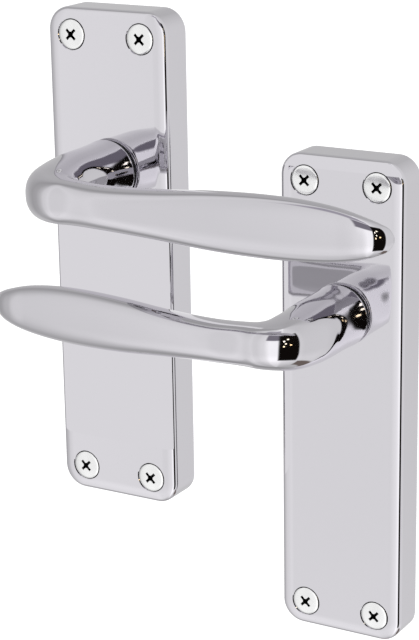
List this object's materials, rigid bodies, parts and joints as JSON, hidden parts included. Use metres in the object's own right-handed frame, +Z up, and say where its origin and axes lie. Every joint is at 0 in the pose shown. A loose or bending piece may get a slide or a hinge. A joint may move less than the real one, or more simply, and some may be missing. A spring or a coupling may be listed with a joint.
{
  "type": "door lever handle",
  "caption": "Handed pair of polished lever latch handles on short backplates, each with a sprung lever on a square spindle socket.",
  "frame": {"origin": "middle of the left backplate's back face, on its middle rib", "axes": "+X along the left lever towards its tip, +Y into the door, +Z up"},
  "size_m": [0.1484, 0.0917, 0.1948],
  "materials": {
    "chrome": "polished",
    "steel": "zinc plated",
    "spring_steel": "oiled",
    "black_steel": "blackened",
    "nylon": "matt",
    "black_nylon": "matt"
  },
  "bodies": {
    "plates": {"left_backplate": "chrome", "left_neck_washer": "black_nylon", "left_bush": "nylon", "left_return_spring": "spring_steel", "left_cover": "steel", "left_cover_screw_upper": "steel", "left_cover_screw_lower": "steel", "left_screw_top_inner": "chrome", "left_screw_top_outer": "chrome", "left_screw_bottom_inner": "chrome", "left_screw_bottom_outer": "chrome", "right_backplate": "chrome", "right_neck_washer": "black_nylon", "right_bush": "nylon", "right_return_spring": "spring_steel", "right_cover": "steel", "right_cover_screw_upper": "steel", "right_cover_screw_lower": "steel", "right_screw_top_inner": "chrome", "right_screw_top_outer": "chrome", "right_screw_bottom_inner": "chrome", "right_screw_bottom_outer": "chrome"},
    "left_lever_body": {"left_lever": "chrome", "left_cam": "steel", "left_thrust_washer": "steel", "left_circlip": "spring_steel", "left_grub_screw": "black_steel"},
    "right_lever_body": {"right_lever": "chrome", "right_cam": "steel", "right_thrust_washer": "steel", "right_circlip": "spring_steel", "right_grub_screw": "black_steel"}
  },
  "joints": [
    {"name": "left_lever_turn", "type": "hinge", "parent": "plates", "child": "left_lever_body", "pos_m": [0, -0.03, 0.0278], "axis": [0, 1, 0], "range_deg": [0, 40], "stiffness_Nm_per_rad": 0.6, "springref_deg": -34.38, "deforming": ["left_return_spring"]},
    {"name": "right_lever_turn", "type": "hinge", "parent": "plates", "child": "right_lever_body", "pos_m": [0.0646, -0.005, -0.015], "axis": [0, -1, 0], "range_deg": [0, 40], "stiffness_Nm_per_rad": 0.6, "springref_deg": -34.38, "deforming": ["right_return_spring"]}
  ]
}
